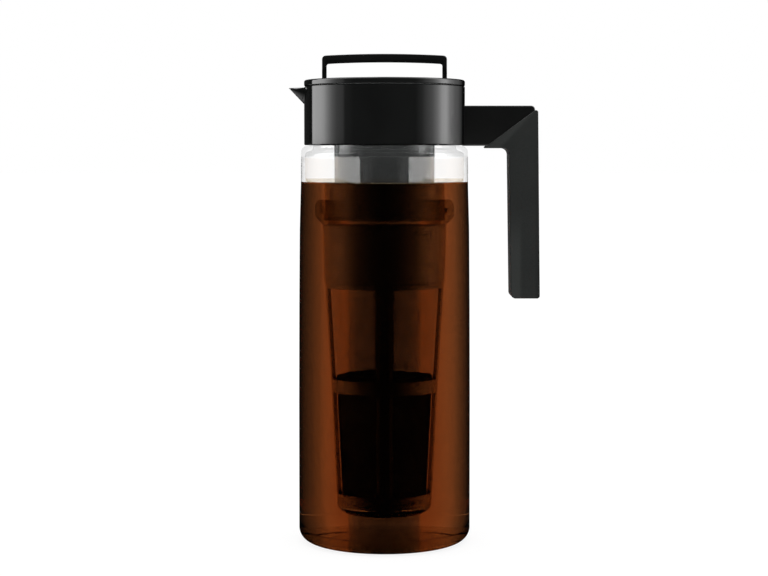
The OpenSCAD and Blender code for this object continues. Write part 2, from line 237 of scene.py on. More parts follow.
def mat_grip():
    """Soft-touch silicone: matt dark grey with a faint green cast, fine orange-peel, and paler on its sharp edges."""
    m, n = material("grip_silicone")
    co = obj_coord(n)
    peel = n.noise(1500.0, 3.0, 0.65, co)
    cloud = n.noise(45.0, 4.0, 0.55, co)
    geo = n.add("ShaderNodeNewGeometry")
    # paler colour on the sharp convex edges
    edge = n.remap(geo.outputs["Pointiness"], 0.505, 0.56, 0.0, 1.0)
    base = n.mix(n.remap(cloud, 0.3, 0.7, 0.0, 1.0), (0.0066, 0.0082, 0.0075, 1), (0.0092, 0.0110, 0.0101, 1))
    color = n.mix(n.math("MULTIPLY", edge, 0.35), base, (0.040, 0.042, 0.040, 1))
    s = n.add("ShaderNodeSeparateXYZ")
    n.put(s.inputs[0], co)
    # painted light: paler along the inner side of the upright; painted shade: darker at its back
    painted_side_light = n.math("MULTIPLY", n.remap(s.outputs["X"], 0.0845, 0.0875, 1.0, 0.0, "SMOOTHSTEP"), n.remap(s.outputs["Z"], 0.185, 0.215, 1.0, 0.0, "SMOOTHSTEP"))
    color = n.mix(n.math("MULTIPLY", painted_side_light, 0.5), color, (0.030, 0.033, 0.031, 1))
    # painted shade: darker along the back of the upright
    color = n.mix(n.remap(s.outputs["X"], 0.0945, 0.0975, 0.0, 0.65, "SMOOTHSTEP"), color, (0.002, 0.0024, 0.0022, 1))
    rough = n.remap(peel, 0.3, 0.7, 0.62, 0.78)
    b = principled(n, color, rough, normal=n.bump(peel, 0.35, 0.00012))
    b.inputs["Sheen Weight"].default_value = 0.03
    b.inputs["Sheen Roughness"].default_value = 0.5
    output(n, unmirrored(n, b.outputs[0]))
    return m


def mat_silicone():
    """Milky translucent silicone of the gaskets."""
    m, n = material("seal_silicone")
    co = obj_coord(n)
    dust = n.noise(400.0, 3.0, 0.6, co)
    color = n.mix(n.remap(dust, 0.3, 0.7, 0.0, 1.0), (0.42, 0.43, 0.43, 1), (0.52, 0.53, 0.53, 1))
    b = principled(n, color, n.remap(dust, 0.3, 0.7, 0.38, 0.5), ior=1.41, normal=n.bump(dust, 0.15, 0.0001))
    b.inputs["Subsurface Weight"].default_value = 0.15
    b.inputs["Subsurface Radius"].default_value = (0.002, 0.002, 0.002)
    output(n, b.outputs[0])
    return m


def mat_steel():
    """Turned stainless steel."""
    m, n = material("brushed_steel")
    co = obj_coord(n)
    w = n.add("ShaderNodeTexWave", wave_type="RINGS", rings_direction="X")
    w.inputs["Scale"].default_value = 700.0
    w.inputs["Distortion"].default_value = 2.0
    n.put(w.inputs["Vector"], co)
    b = principled(n, (0.62, 0.62, 0.63, 1), n.remap(w.outputs["Fac"], 0.0, 1.0, 0.2, 0.34), metallic=1.0,
                   normal=n.bump(w.outputs["Fac"], 0.1, 0.00003))
    output(n, unmirrored(n, b.outputs[0]))
    return m


def below_shoulder(n, surface, ior):
    """Just below the shoulder, light caught in the wall leaves it instead of drawing a black line."""
    s = n.add("ShaderNodeSeparateXYZ")
    n.put(s.inputs[0], obj_coord(n))
    f = n.add("ShaderNodeFresnel")
    f.inputs["IOR"].default_value = ior
    caught = n.math("MULTIPLY", n.math("GREATER_THAN", f.outputs[0], 0.985), n.add("ShaderNodeNewGeometry").outputs["Backfacing"])
    mx = n.add("ShaderNodeMixShader")
    n.link(n.math("MULTIPLY", caught, n.math("GREATER_THAN", s.outputs["Z"], 0.2425)), mx.inputs[0])
    n.link(surface, mx.inputs[1])
    n.link(n.add("ShaderNodeBsdfTransparent").outputs[0], mx.inputs[2])
    return mx.outputs[0]


def mat_clear(name, tint, rough=0.0, ior=1.5):
    """Clear copolyester, outer skin: polished, with very slight flow ripples and hairlines."""
    m, n = material(name)
    co = obj_coord(n)
    mp = n.add("ShaderNodeMapping")
    mp.inputs["Scale"].default_value = (1.0, 1.0, 0.35)
    n.put(mp.inputs["Vector"], co)
    flow = n.noise(30.0, 2.0, 0.4, mp.outputs[0])
    # the wall's slight draft is left out of the shading, so that it glints like an upright cylinder
    s = n.add("ShaderNodeSeparateXYZ")
    n.put(s.inputs[0], n.add("ShaderNodeNewGeometry").outputs["Normal"])
    c = n.add("ShaderNodeCombineXYZ")
    n.put(c.inputs[0], s.outputs[0])
    n.put(c.inputs[1], s.outputs[1])
    n.put(c.inputs[2], n.math("MULTIPLY", s.outputs[2], n.remap(n.math("ABSOLUTE", s.outputs[2]), 0.03, 0.12, 0.0, 1.0)))
    up = n.add("ShaderNodeVectorMath", operation="NORMALIZE")
    n.put(up.inputs[0], c.outputs[0])
    bump = n.add("ShaderNodeBump")
    bump.inputs["Strength"].default_value = 0.012
    bump.inputs["Distance"].default_value = 0.001
    n.put(bump.inputs["Height"], flow)
    n.put(bump.inputs["Normal"], up.outputs[0])
    b = principled(n, (tint, tint, tint, 1), rough, ior=ior, transmission=1.0, normal=bump.outputs[0])
    output(n, below_shoulder(n, b.outputs[0], ior))
    return m


def bending(n, tint, ior):
    """Clear refraction without a surface glint, mirroring fully past the limit angle."""
    r = n.add("ShaderNodeBsdfRefraction")
    r.inputs["Color"].default_value = (tint, tint, tint, 1)
    r.inputs["Roughness"].default_value = 0.0
    r.inputs["IOR"].default_value = ior
    g = n.add("ShaderNodeBsdfGlossy")
    g.inputs["Color"].default_value = (tint, tint, tint, 1)
    g.inputs["Roughness"].default_value = 0.0
    f = n.add("ShaderNodeFresnel")
    f.inputs["IOR"].default_value = ior
    mx = n.add("ShaderNodeMixShader")
    n.link(n.math("GREATER_THAN", f.outputs[0], 0.985), mx.inputs[0])
    n.link(r.outputs[0], mx.inputs[1])
    n.link(g.outputs[0], mx.inputs[2])
    return mx.outputs[0]


def upright_normal(n):
    """The surface's normal turned level, as on an upright wall."""
    s = n.add("ShaderNodeSeparateXYZ")
    n.put(s.inputs[0], n.add("ShaderNodeNewGeometry").outputs["Normal"])
    c = n.add("ShaderNodeCombineXYZ")
    n.put(c.inputs[0], s.outputs[0])
    n.put(c.inputs[1], s.outputs[1])
    c.inputs[2].default_value = 0.0
    v = n.add("ShaderNodeVectorMath", operation="NORMALIZE")
    n.put(v.inputs[0], c.outputs[0])
    return v.outputs[0]


def mat_clear_foot():
    """Rounded foot and underside: the thick corner bends light like the wall above it, the underside mirrors."""
    m, n = material("clear_plastic_foot")
    geo = n.add("ShaderNodeNewGeometry")
    sp = n.add("ShaderNodeSeparateXYZ")
    n.put(sp.inputs[0], obj_coord(n))
    # painted shade: the outside of the foot darkens toward the floor, to half at its bottom edge
    rim = n.math("MAXIMUM", n.remap(sp.outputs["Z"], 0.0, 0.006, 0.5, 1.0, "SMOOTHSTEP"), geo.outputs["Backfacing"])
    r = n.add("ShaderNodeBsdfRefraction")
    n.put(r.inputs["Color"], n.mix(rim, (0.0, 0.0, 0.0, 1), (0.98, 0.98, 0.98, 1)))
    r.inputs["Roughness"].default_value = 0.0
    r.inputs["IOR"].default_value = 1.2
    n.put(r.inputs["Normal"], upright_normal(n))
    g = n.add("ShaderNodeBsdfGlossy")
    g.inputs["Color"].default_value = (0.80, 0.80, 0.80, 1)
    g.inputs["Roughness"].default_value = 0.0
    ns = n.add("ShaderNodeSeparateXYZ")
    n.put(ns.inputs[0], geo.outputs["Normal"])
    flat = n.math("GREATER_THAN", n.math("ABSOLUTE", ns.outputs["Z"]), 0.985)
    up = n.add("ShaderNodeCombineXYZ")
    up.inputs[2].default_value = 1.0
    n.put(g.inputs["Normal"], up.outputs[0])
    under = n.math("MULTIPLY", flat, geo.outputs["Backfacing"])
    mx = n.add("ShaderNodeMixShader")
    n.link(under, mx.inputs[0])
    n.link(r.outputs[0], mx.inputs[1])
    n.link(g.outputs[0], mx.inputs[2])
    output(n, mx.outputs[0])
    return m


def mat_clear_thin(name, tint):
    """Thin clear plastic seen without bending, greyer where it is seen edge-on."""
    m, n = material(name)
    t = n.add("ShaderNodeBsdfTransparent")
    t.inputs["Color"].default_value = (tint, tint, tint, 1)
    g = n.add("ShaderNodeBsdfGlossy")
    g.inputs["Color"].default_value = (0.6, 0.6, 0.6, 1)
    g.inputs["Roughness"].default_value = 0.05
    f = n.add("ShaderNodeFresnel")
    f.inputs["IOR"].default_value = 1.35
    mx = n.add("ShaderNodeMixShader")
    n.link(n.math("MULTIPLY", f.outputs[0], 0.14), mx.inputs[0])
    n.link(t.outputs[0], mx.inputs[1])
    n.link(g.outputs[0], mx.inputs[2])
    output(n, mx.outputs[0])
    return m


def mat_clear_floor():
    """Inside of the jug's floor: it mirrors the brew above it; its rounded rim bends nothing."""
    m, n = material("clear_plastic_floor")
    geo = n.add("ShaderNodeNewGeometry")
    sn = n.add("ShaderNodeSeparateXYZ")
    n.put(sn.inputs[0], geo.outputs["Normal"])
    sp = n.add("ShaderNodeSeparateXYZ")
    n.put(sp.inputs[0], obj_coord(n))
    # painted shade: the floor's mirror image is darker toward the front (-Y)
    painted_front_shade = n.ramp(n.remap(sp.outputs["Y"], -0.05, 0.05, 0.0, 1.0), [(0.0, 0.55), (0.2, 0.55), (0.58, 0.72), (0.85, 0.85), (1.0, 0.95)])
    g = n.add("ShaderNodeBsdfGlossy")
    n.put(g.inputs["Color"], painted_front_shade)
    g.inputs["Roughness"].default_value = 0.0
    up = n.add("ShaderNodeCombineXYZ")
    up.inputs[2].default_value = 1.0
    n.put(g.inputs["Normal"], up.outputs[0])
    flat = n.math("GREATER_THAN", sn.outputs["Z"], 0.985)
    mirror = n.math("MULTIPLY", flat, n.math("SUBTRACT", 1.0, geo.outputs["Backfacing"]))
    mx = n.add("ShaderNodeMixShader")
    n.link(mirror, mx.inputs[0])
    n.link(n.add("ShaderNodeBsdfTransparent").outputs[0], mx.inputs[1])
    n.link(g.outputs[0], mx.inputs[2])
    output(n, mx.outputs[0])
    return m


def mat_clear_inner(tint):
    """The same plastic seen from within: it bends light and takes a little of it."""
    m, n = material("clear_plastic_inner")
    output(n, below_shoulder(n, bending(n, tint, 1.5), 1.5))
    return m


def absorb(n, per_m):
    """Absorption with these amounts per metre for red, green and blue."""
    v = n.add("ShaderNodeVolumeAbsorption")
    d = max(per_m) / 0.98
    v.inputs["Color"].default_value = (*[1.0 - a / d for a in per_m], 1)
    v.inputs["Density"].default_value = d
    return v.outputs[0]


COFFEE_SIGMA = (18.5, 35.0, 52.0)


def mat_coffee():
    """Clear red-brown brew. Inside the jug's foot its skin bends nothing, because the foot does."""
    m, n = material("coffee")
    s = n.add("ShaderNodeSeparateXYZ")
    n.put(s.inputs[0], obj_coord(n))
    mx = n.add("ShaderNodeMixShader")
    n.link(n.math("LESS_THAN", s.outputs["Z"], FOOT_IN * MM), mx.inputs[0])
    n.link(bending(n, 1.0, 1.2), mx.inputs[1])
    n.link(n.add("ShaderNodeBsdfTransparent").outputs[0], mx.inputs[2])
    output(n, mx.outputs[0], absorb(n, COFFEE_SIGMA))
    return m


def mat_painted_shade_core():
    """Painted shade: a darker column of brew down the middle, through the basket."""
    m, n = material("coffee_painted_shade_core")
    t = n.add("ShaderNodeBsdfTransparent")
    output(n, t.outputs[0], absorb(n, (46.0, 28.0, 10.0)))
    return m


def mat_film():
    """Pale film on the coffee: thin cream froth that lets most light through."""
    m, n = material("coffee_film")
    co = obj_coord(n)
    v = n.add("ShaderNodeTexVoronoi")
    v.inputs["Scale"].default_value = 1400.0
    n.put(v.inputs["Vector"], co)
    t = n.add("ShaderNodeBsdfTransparent")
    t.inputs["Color"].default_value = (0.985, 0.96, 0.915, 1)
    d = principled(n, n.mix(v.outputs["Distance"], (0.90, 0.78, 0.60, 1), (0.99, 0.90, 0.76, 1)), 0.4, normal=n.bump(v.outputs["Distance"], 0.3, 0.0002))
    mx = n.add("ShaderNodeMixShader")
    n.put(mx.inputs[0], n.remap(n.noise(120.0, 3.0, 0.6, co), 0.35, 0.65, 0.05, 0.12))
    n.link(t.outputs[0], mx.inputs[1])
    n.link(d.outputs[0], mx.inputs[2])
    output(n, mx.outputs[0])
    return m


def mat_smoke(name, ring=False):
    """Smoke-tinted clear plastic of the infuser. The ring, deep in the brew, shows only as a darker edge."""
    m, n = material(name)
    co = obj_coord(n)
    cloud = n.remap(n.noise(25.0, 2.0, 0.5, co), 0.3, 0.7, 0.0, 1.0)
    tint = n.mix(cloud, (0.165, 0.170, 0.168, 1), (0.185, 0.190, 0.188, 1))
    b = principled(n, tint, 0.0, transmission=1.0, normal=n.bump(n.noise(40.0, 2.0, 0.4, co), 0.01, 0.001))
    if not ring:
        output(n, b.outputs[0])
        return m
    s = n.add("ShaderNodeSeparateXYZ")
    n.put(s.inputs[0], co)
    w = n.add("ShaderNodeLayerWeight")
    w.inputs["Blend"].default_value = 0.5
    t = n.add("ShaderNodeBsdfTransparent")
    n.put(t.inputs["Color"], n.mix(n.remap(w.outputs["Facing"], 0.2, 0.55, 0.0, 1.0), (1.0, 1.0, 1.0, 1), (0.72, 0.69, 0.64, 1)))
    mx = n.add("ShaderNodeMixShader")
    place = n.add("ShaderNodeSeparateXYZ")
    n.put(place.inputs[0], n.add("ShaderNodeNewGeometry").outputs["Position"])
    under = n.math("LESS_THAN", place.outputs["Z"], LEVEL * MM)
    n.link(n.math("MULTIPLY", under, n.math("GREATER_THAN", s.outputs["Z"], 0.2030)), mx.inputs[0])
    n.link(b.outputs[0], mx.inputs[1])
    n.link(t.outputs[0], mx.inputs[2])
    output(n, mx.outputs[0])
    return m


def mat_mesh():
    """Fine woven nylon: two thread directions on the cone, see-through between them."""
    m, n = material("filter_weave")
    co = obj_coord(n)
    s = n.add("ShaderNodeSeparateXYZ")
    n.put(s.inputs[0], co)
    ang = n.math("ARCTAN2", s.outputs["Y"], s.outputs["X"])
    pitch = 0.00045
    warp = n.math("PINGPONG", n.math("MULTIPLY", ang, 0.026 / pitch), 0.5)
    weft = n.math("PINGPONG", n.math("DIVIDE", s.outputs["Z"], pitch), 0.5)
    a = n.math("LESS_THAN", warp, 0.02)
    b_ = n.math("LESS_THAN", weft, 0.02)
    thread = n.math("MAXIMUM", a, b_)
    d = principled(n, (0.020, 0.012, 0.008, 1), 0.6, spec=0.2, normal=n.bump(n.math("MINIMUM", warp, weft), 0.4, 0.0001))
    t = n.add("ShaderNodeBsdfTransparent")
    mx = n.add("ShaderNodeMixShader")
    n.link(thread, mx.inputs[0])
    n.link(t.outputs[0], mx.inputs[1])
    n.link(d.outputs[0], mx.inputs[2])
    output(n, mx.outputs[0])
    return m


def mat_grounds():
    """Soaked ground coffee."""
    m, n = material("ground_coffee")
    co = obj_coord(n)
    v = n.add("ShaderNodeTexVoronoi")
    v.inputs["Scale"].default_value = 900.0
    n.put(v.inputs["Vector"], co)
    col = n.mix(n.remap(n.noise(500.0, 3.0, 0.6, co), 0.3, 0.7, 0.0, 1.0), (0.0010, 0.0008, 0.0007, 1), (0.0032, 0.0020, 0.0016, 1))
    b = principled(n, col, 0.85, spec=0.15, normal=n.bump(v.outputs["Distance"], 0.8, 0.0006))
    output(n, b.outputs[0])
    return m


GLOSS = mat_gloss_black()
SATIN = mat_satin_black()
GRIP = mat_grip()
SILICONE = mat_silicone()
STEEL = mat_steel()
CLEAR = mat_clear("clear_plastic", 0.985)
CLEAR_IN = mat_clear_inner(0.975)
CLEAR_FOOT = mat_clear_foot()
CLEAR_FLOOR = mat_clear_floor()
CLEAR_SHOULDER = mat_clear_thin("clear_plastic_shoulder", 0.99)
COFFEE = mat_coffee()
PAINTED_SHADE_CORE = mat_painted_shade_core()
FILM = mat_film()
SMOKE = mat_smoke("smoke_plastic")
SMOKE_BASKET = mat_smoke("smoke_plastic_basket", ring=True)
WEAVE = mat_mesh()
GROUND = mat_grounds()


# ------------------------------------------------------------------ mesh helpers
def link(name, bm, mats, body, smooth=True, replaces=()):
    me = bpy.data.meshes.new(name)
    bm.to_mesh(me)
    bm.free()
    for m in mats:
        me.materials.append(m)
    for p in me.polygons:
        p.use_smooth = smooth
    o = bpy.data.objects.new(name, me)
    scene.collection.objects.link(o)
    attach(o, body)
    if replaces:
        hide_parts(*replaces)
    return o


def lathe(profile, segs=256, mat_of=None):
    """A closed body of revolution about Z from a closed outline of (r, z) points in mm."""
    bm = bmesh.new()
    rings = []
    for r, z in profile:
        if r < 1e-6:
            rings.append([bm.verts.new((0, 0, z * MM))])
        else:
            rings.append([
                bm.verts.new((r * MM * math.cos(2 * math.pi * i / segs), r * MM * math.sin(2 * math.pi * i / segs), z * MM))
                for i in range(segs)
            ])
    k = len(rings)
    for j in range(k):
        a, b = rings[j], rings[(j + 1) % k]
        if len(a) == 1 and len(b) == 1:
            continue
        for i in range(segs):
            i2 = (i + 1) % segs
            if len(a) == 1:
                f = bm.faces.new((a[0], b[i2], b[i]))
            elif len(b) == 1:
                f = bm.faces.new((a[i], a[i2], b[0]))
            else:
                f = bm.faces.new((a[i], a[i2], b[i2], b[i]))
            if mat_of:
                f.material_index = mat_of(j)
    bmesh.ops.recalc_face_normals(bm, faces=bm.faces)
    return bm


def unit(a, b):
    d = math.hypot(b[0] - a[0], b[1] - a[1])
    return ((b[0] - a[0]) / d, (b[1] - a[1]) / d)


def corner(a, b, c, r, n=8):
    """Points of an arc of radius r that rounds the corner at b between a and c."""
    if r <= 0:
        return [b]
    u, w = unit(b, a), unit(b, c)
    half = math.acos(max(-1, min(1, u[0] * w[0] + u[1] * w[1]))) / 2
    d = r / math.tan(half)
    mx, my = u[0] + w[0], u[1] + w[1]
    ml = math.hypot(mx, my)
    o = (b[0] + mx / ml * r / math.sin(half), b[1] + my / ml * r / math.sin(half))
    s = (b[0] + u[0] * d - o[0], b[1] + u[1] * d - o[1])
    f = (b[0] + w[0] * d - o[0], b[1] + w[1] * d - o[1])
    a0, a1 = math.atan2(s[1], s[0]), math.atan2(f[1], f[0])
    sweep = (a1 - a0 + 3 * math.pi) % (2 * math.pi) - math.pi
    return [(o[0] + r * math.cos(a0 + sweep * i / n), o[1] + r * math.sin(a0 + sweep * i / n)) for i in range(n + 1)]


def rounded(pts, n=8):
    out = []
    k = len(pts)
    for i in range(k):
        a, b, c = pts[i - 1], pts[i], pts[(i + 1) % k]
        out += corner(a[:2], b[:2], c[:2], b[2], n)
    return out


def refine(profile, step=6.0):
    """Splits long straight runs, so that smooth shading stays even."""
    out = []
    k = len(profile)
    for i in range(k):
        a, b = profile[i], profile[(i + 1) % k]
        out.append(a)
        n = int(math.hypot(b[0] - a[0], b[1] - a[1]) / step)
        for j in range(1, n):
            out.append((a[0] + (b[0] - a[0]) * j / n, a[1] + (b[1] - a[1]) * j / n))
    return out


def applied(o):
    """Turns an object's modifiers into its mesh."""
    dg = bpy.context.evaluated_depsgraph_get()
    me = bpy.data.meshes.new_from_object(o.evaluated_get(dg))
    o.modifiers.clear()
    old = o.data
    o.data = me
    bpy.data.meshes.remove(old)


def sharp_by_angle(o, deg=35.0):
    """Smooth shading that keeps edges above this angle crisp."""
    me = o.data
    bm = bmesh.new()
    bm.from_mesh(me)
    for e in bm.edges:
        e.smooth = not (len(e.link_faces) == 2 and e.calc_face_angle(0.0) > math.radians(deg))
    for f in bm.faces:
        f.smooth = True
    bm.to_mesh(me)
    bm.free()


def extrude_y(outline, half):
    """A closed prism from an outline in the XZ plane, in mm."""
    bm = bmesh.new()
    front = [bm.verts.new((x * MM, -half * MM, z * MM)) for x, z in outline]
    back = [bm.verts.new((x * MM, half * MM, z * MM)) for x, z in outline]
    bm.faces.new(front)
    bm.faces.new(list(reversed(back)))
    k = len(outline)
    for i in range(k):
        j = (i + 1) % k
        bm.faces.new((front[j], front[i], back[i], back[j]))
    bmesh.ops.recalc_face_normals(bm, faces=bm.faces)
    return bm


def bevel(o, width, segs=4, angle=40.0):
    b = o.modifiers.new("bevel", "BEVEL")
    b.width = width * MM
    b.segments = segs
    b.limit_method = "ANGLE"
    b.angle_limit = math.radians(angle)
    b.use_clamp_overlap = True
    b.harden_normals = False


# ------------------------------------------------------------------ jug
SH_TOP, SH_R = 252.6, 3.6
FOOT_PT = (54.87, FOOT)   # where the foot's curve has ended
SHOULDER = 246.0           # below the curve of the shoulder
WALL_TOP = (53.2 + (JUG_TOP_R - 53.2) * (SHOULDER - 228.0) / (SH_TOP - 228.0), SHOULDER)
outer = (
    [(0.0, 0.8), (26.0, 0.8), (35.5, 0.0)]
    + corner((35.5, 0), (JUG_R, 0), FOOT_PT, 8.4, 18)
    + [FOOT_PT] + WALL_LINE + [(WALL_TOP[0], SHOULDER - 0.3), WALL_TOP]
    + corner(WALL_TOP, (JUG_TOP_R, SH_TOP), (NECK_R, SH_TOP), SH_R, 12)
    + [(NECK_R, SH_TOP), (NECK_R, 264.6), (NECK_R + 0.5, 265.4), (NECK_R + 0.5, 267.2), (NECK_R, 268.0),
       (NECK_R, NECK_TOP - 0.6), (NECK_R - 0.6, NECK_TOP), (NECK_IN + 0.6, NECK_TOP)]
)
WALL_IN = [(r - WALL, z) for r, z in WALL_LINE]
inner = (
    [(NECK_IN, NECK_TOP - 0.6), (NECK_IN, 253.9)]
    + corner((NECK_IN, 253.9), (NECK_IN, 250.5), (JUG_TOP_R - WALL, 248.2), 2.0, 6)
    + corner((NECK_IN, 250.5), (JUG_TOP_R - WALL, 248.2), (WALL_TOP[0] - WALL, SHOULDER), 1.9, 8)
    + [(WALL_TOP[0] - WALL, SHOULDER), (WALL_TOP[0] - WALL, SHOULDER - 0.3)] + WALL_IN[::-1] + [(FOOT_PT[0] - WALL, FOOT_IN)]
    + corner((FOOT_PT[0] - WALL, FOOT_IN), (JUG_R - WALL, 2.5), (40, 2.5), 5.9, 14)
    + [(36.0, 2.5), (30.0, 3.1), (0.0, 3.3)]
)
prof = outer + inner
dense, inside = [], []
for i in range(len(prof)):
    a, b = prof[i], prof[(i + 1) % len(prof)]
    dense.append(a)
    inside.append(i >= len(outer) - 1)
    n = int(math.hypot(b[0] - a[0], b[1] - a[1]) / 8.0)
    if a[0] < 1e-6 and b[0] < 1e-6:
        n = 0
    for j in range(1, n):
        dense.append((a[0] + (b[0] - a[0]) * j / n, a[1] + (b[1] - a[1]) * j / n))
        inside.append(i >= len(outer) - 1)
def jug_face(j):
    z = 0.5 * (dense[j][1] + dense[(j + 1) % len(dense)][1])
    if z > SHOULDER:
        return 4
    if z < (FOOT_IN if inside[j] else FOOT):
        return 3 if inside[j] else 2
    return int(inside[j])


jug = link("jug_body", lathe(dense, 256, jug_face), [CLEAR, CLEAR_IN, CLEAR_FOOT, CLEAR_FLOOR, CLEAR_SHOULDER], "pitcher", replaces=("jug",))
sharp_by_angle(jug, 28.0)

# ------------------------------------------------------------------ coffee
OVER = 2.1   # how far the colour of the liquid reaches into the wall
SKIN = 0.25  # clear skin left under and round the floor


def wall_in(z):
    for (r0, z0), (r1, z1) in zip(WALL_IN, WALL_IN[1:]):
        if z <= z1:
            return r0 + (r1 - r0) * (z - z0) / (z1 - z0)
    return WALL_IN[-1][0]


liquid = (
    [(0.0, 0.8 + SKIN), (26.0, 0.8 + SKIN), (35.6, SKIN)]
    + corner((35.6, SKIN), (JUG_R - SKIN, SKIN), (WALL_IN[0][0] + OVER, 30.0), 8.4 - SKIN, 16)
    + [(r + OVER, z) for r, z in WALL_IN]
    + [(wall_in(LEVEL) + OVER, LEVEL + 0.7), (wall_in(LEVEL) - 0.10, LEVEL + 0.6), (wall_in(LEVEL) - 0.6, LEVEL + 0.3),
       (wall_in(LEVEL) - 1.5, LEVEL + 0.1), (wall_in(LEVEL) - 3.0, LEVEL)]
    + [(TUBE_R + 2.2, LEVEL), (0.0, LEVEL)]
)
liquid = refine(liquid, 8.0)


coffee = link("coffee_liquid", lathe(liquid, 192), [COFFEE], "pitcher")
sharp_by_angle(coffee, 50.0)
# painted shade: a dark absorbing column on the axis, from the floor up to the surface
core_profile = [(0.0, 3.36), (19.4, 3.36), (19.4, LEVEL - 0.4), (0.0, LEVEL - 0.4)]
core = link("coffee_painted_shade_column", lathe(refine(core_profile, 12.0), 96), [PAINTED_SHADE_CORE], "pitcher")
sharp_by_angle(core, 50.0)

# a pale film lies on the coffee and creeps up the wall a little
rim = wall_in(LEVEL)
film_bm = lathe([(TUBE_R + 0.5, LEVEL + 0.05), (rim - 3.2, LEVEL + 0.08), (rim - 1.6, LEVEL + 0.25), (rim - 0.75, LEVEL + 0.7),
                 (rim - 0.45, LEVEL + 3.0), (rim - 0.6, LEVEL + 3.1), (rim - 1.1, LEVEL + 1.2), (rim - 3.2, LEVEL + 0.25), (TUBE_R + 0.5, LEVEL + 0.2)], 192)
for v in film_bm.verts:  # it stands high on the far wall and low on the near one
    up = v.co.z / MM - LEVEL
    if up > 0.5:
        v.co.z = (LEVEL + up * (0.06 + 0.94 * min(1.0, max(0.0, (v.co.y / MM + 34.0) / 26.0)))) * MM
film = link("coffee_film", film_bm, [FILM], "pitcher")
sharp_by_angle(film, 60.0)

# ------------------------------------------------------------------ ground coffee in the basket
bm = bmesh.new()
SEG, RINGS = 96, 26


def wob(a, b, c):
    return (math.sin(a * 3 + b * 1.7 + c) + math.sin(a * 7 - b * 2.3 + c * 2.1) * 0.5 + math.sin(a * 13 + b * 4.1 - c) * 0.3) / 1.8


rows = []
z_low, z_high = 23.0, GROUNDS
for j in range(RINGS + 1):
    z = z_low + (z_high - 1.2 - z_low) * j / RINGS
    row = []
    for i in range(SEG):
        a = 2 * math.pi * i / SEG
        r = (20.2 if z < 29.4 else basket_r(z) - BASKET_WALL - 0.62) + 0.10 * wob(a, z * 0.4, 1.0) - 0.1
        row.append(bm.verts.new((r * MM * math.cos(a), r * MM * math.sin(a), z * MM)))
    rows.append(row)
r_top = basket_r(z_high) - BASKET_WALL - 0.62
for k, f in enumerate((0.985, 0.93, 0.84, 0.7, 0.52, 0.34, 0.16)):
    row = []
    for i in range(SEG):
        a = 2 * math.pi * i / SEG
        z = z_high - 0.4 * (f > 0.97) + 1.1 * wob(a, f * 9, 0.4) * (1.0 if f < 0.97 else 0.5) + 0.7 * (1 - f)
        row.append(bm.verts.new((r_top * f * MM * math.cos(a), r_top * f * MM * math.sin(a), z * MM)))
    rows.append(row)
for a_, b_ in zip(rows, rows[1:]):
    for i in range(SEG):
        j = (i + 1) % SEG
        bm.faces.new((a_[i], a_[j], b_[j], b_[i]))
low = bm.verts.new((0, 0, z_low * MM))
top = bm.verts.new((0, 0, (z_high + 0.9) * MM))
for i in range(SEG):
    j = (i + 1) % SEG
    bm.faces.new((rows[0][j], rows[0][i], low))
    bm.faces.new((rows[-1][i], rows[-1][j], top))
bmesh.ops.recalc_face_normals(bm, faces=bm.faces)
grounds = link("ground_coffee_bed", bm, [GROUND], "basket")

# ------------------------------------------------------------------ filter weave
sleeve = [(basket_r(z) - BASKET_WALL - 0.10, z) for z in (29.3, 50, 65, 80, 97, 115, 130, 148, 165.9)]
sleeve += [(r - 0.3, z) for r, z in reversed(sleeve)]
weave = link("filter_weave_sleeve", lathe(sleeve, 160), [WEAVE], "basket", replaces=("filter_mesh",))
sharp_by_angle(weave, 60.0)

# ------------------------------------------------------------------ handle
CORE_LINE = [(50.9, 252.9, 0), (80.1, 252.9, 3), (81.6, 158.8, 1), (96.0, 158.8, 1), (94.8, 278.0, 2.5), (50.9, 278.0, 0)]
GRIP_LINE = [(62.6, 251.4, 0.6), (78.5, 251.4, 4), (80.1, 156.3, 3), (98.4, 156.3, 1.8), (96.7, 276.6, 1.5)]


def arm_end(o):
    """Shapes the arm's inner end to the collar's round wall."""
    for v in o.data.vertices:
        if v.co.x < 51.9 * MM and v.co.z > 200 * MM:
            v.co.x = math.sqrt((51.02 * MM) ** 2 - v.co.y ** 2)


arm = link("handle_arm", extrude_y(rounded(CORE_LINE, 6), 11.0), [SATIN], "pitcher", replaces=("handle_core",))
bevel(arm, 0.9, 4)
applied(arm)
for v in arm.data.vertices:
    if v.co.z < 236 * MM:
        v.co.y *= 9.5 / 11.0
arm_end(arm)
sharp_by_angle(arm, 35.0)

grip = link("soft_grip", extrude_y(rounded(GRIP_LINE, 8), 12.5), [GRIP], "pitcher", replaces=("handle_grip",))
bevel(grip, 1.9, 6, 50.0)
cut = bpy.data.objects.new("cut", arm.data.copy())
scene.collection.objects.link(cut)
cut.scale = (1.0, 1.0, 1.0)
bo = grip.modifiers.new("pocket", "BOOLEAN")
bo.operation = "DIFFERENCE"
bo.solver = "EXACT"
bo.object = cut
applied(grip)
bpy.data.objects.remove(cut)
while len(grip.data.materials) > 1:
    grip.data.materials.pop()
for p in grip.data.polygons:
    p.material_index = 0
sharp_by_angle(grip, 32.0)

